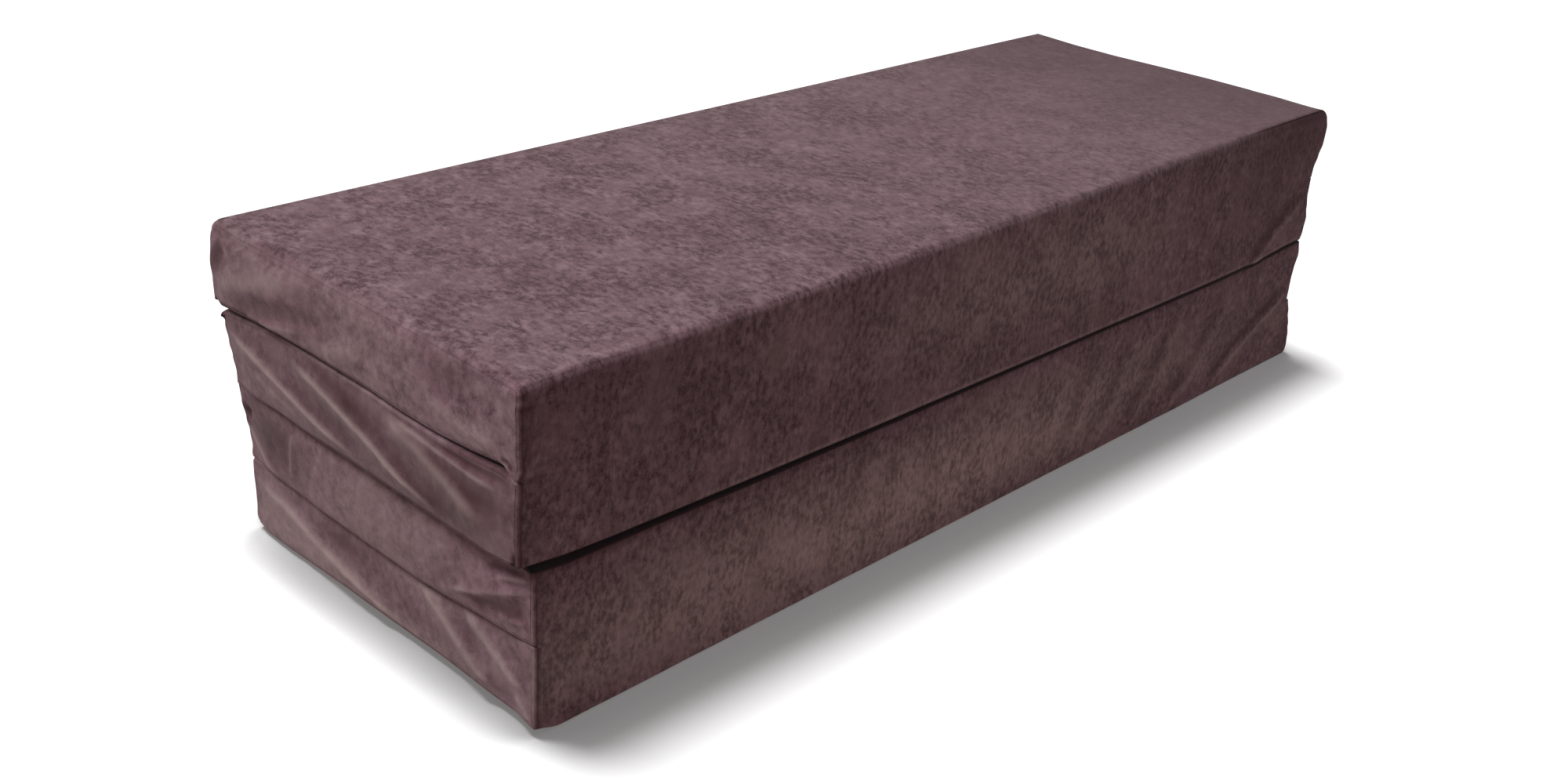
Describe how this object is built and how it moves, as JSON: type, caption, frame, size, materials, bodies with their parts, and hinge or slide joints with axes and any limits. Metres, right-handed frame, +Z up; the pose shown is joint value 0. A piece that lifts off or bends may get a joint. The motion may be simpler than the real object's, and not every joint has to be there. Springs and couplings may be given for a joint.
{
  "type": "folding chair bed",
  "caption": "Folded foam chair bed: soft velour-covered sections stacked as a low seat, hinged at front and back so they fold out flat, with a zipped cover on each.",
  "frame": {"origin": "centre of the footprint on the floor, with the bed folded as a seat", "axes": "+X along the long side towards the zipped ends, -Y out of the front, +Z up"},
  "size_m": [1.4172, 0.4974, 0.3675],
  "materials": {
    "velour": "matte",
    "foam": "matte",
    "zip_tape": "matte",
    "zip_metal": "satin"
  },
  "bodies": {
    "bottom_section": {"bottom_foam_block": "foam", "bottom_front_cover": "velour", "bottom_back_cover": "velour", "bottom_left_end_panel": "velour", "bottom_right_panel_above_zip": "velour", "bottom_right_panel_below_zip": "velour", "bottom_zip_tape_above": "zip_tape", "bottom_zip_tape_below": "zip_tape", "lower_fold_seam": "velour"},
    "lower_section": {"lower_foam_block": "foam", "lower_front_cover": "velour", "lower_back_cover": "velour", "lower_left_end_panel": "velour", "lower_right_panel_above_zip": "velour", "lower_right_panel_below_zip": "velour", "lower_zip_tape_above": "zip_tape", "lower_zip_tape_below": "zip_tape", "middle_fold_seam": "velour"},
    "upper_section": {"upper_foam_block": "foam", "upper_front_cover": "velour", "upper_back_cover": "velour", "upper_left_end_panel": "velour", "upper_right_panel_above_zip": "velour", "upper_right_panel_below_zip": "velour", "upper_zip_tape_above": "zip_tape", "upper_zip_tape_below": "zip_tape", "upper_fold_seam": "velour"},
    "top_section": {"top_foam_block": "foam", "top_front_cover": "velour", "top_back_cover": "velour", "top_left_end_panel": "velour", "top_right_panel_above_zip": "velour", "top_right_panel_below_zip": "velour", "top_zip_tape_above": "zip_tape", "top_zip_tape_below": "zip_tape"},
    "bottom_slider": {"bottom_zip_slider": "zip_metal"},
    "bottom_pull": {"bottom_zip_pull": "zip_metal"},
    "lower_slider": {"lower_zip_slider": "zip_metal"},
    "lower_pull": {"lower_zip_pull": "zip_metal"},
    "upper_slider": {"upper_zip_slider": "zip_metal"},
    "upper_pull": {"upper_zip_pull": "zip_metal"},
    "top_slider": {"top_zip_slider": "zip_metal"},
    "top_pull": {"top_zip_pull": "zip_metal"}
  },
  "joints": [
    {"name": "lower_fold", "type": "hinge", "parent": "bottom_section", "child": "lower_section", "pos_m": [0, -0.2475, 0.09175], "axis": [1, 0, 0], "range_deg": [0, 180]},
    {"name": "middle_fold", "type": "hinge", "parent": "lower_section", "child": "upper_section", "pos_m": [0, 0.2475, 0.18375], "axis": [-1, 0, 0], "range_deg": [0, 180]},
    {"name": "upper_fold", "type": "hinge", "parent": "upper_section", "child": "top_section", "pos_m": [0, -0.2475, 0.27575], "axis": [1, 0, 0], "range_deg": [0, 180]},
    {"name": "bottom_zip_run", "type": "slide", "parent": "bottom_section", "child": "bottom_slider", "axis": [0, -1, 0], "range_m": [0, 0.4245]},
    {"name": "bottom_pull_flip", "type": "hinge", "parent": "bottom_slider", "child": "bottom_pull", "pos_m": [0.7065, 0.21225, 0.04575], "axis": [0, 0, 1], "range_deg": [0, 180]},
    {"name": "lower_zip_run", "type": "slide", "parent": "lower_section", "child": "lower_slider", "axis": [0, -1, 0], "range_m": [0, 0.4245]},
    {"name": "lower_pull_flip", "type": "hinge", "parent": "lower_slider", "child": "lower_pull", "pos_m": [0.6915, 0.21225, 0.13775], "axis": [0, 0, 1], "range_deg": [0, 180]},
    {"name": "upper_zip_run", "type": "slide", "parent": "upper_section", "child": "upper_slider", "axis": [0, -1, 0], "range_m": [0, 0.4245]},
    {"name": "upper_pull_flip", "type": "hinge", "parent": "upper_slider", "child": "upper_pull", "pos_m": [0.6825, 0.21225, 0.22975], "axis": [0, 0, 1], "range_deg": [0, 180]},
    {"name": "top_zip_run", "type": "slide", "parent": "top_section", "child": "top_slider", "axis": [0, -1, 0], "range_m": [0, 0.4245]},
    {"name": "top_pull_flip", "type": "hinge", "parent": "top_slider", "child": "top_pull", "pos_m": [0.6885, 0.21225, 0.32175], "axis": [0, 0, 1], "range_deg": [0, 180]}
  ]
}
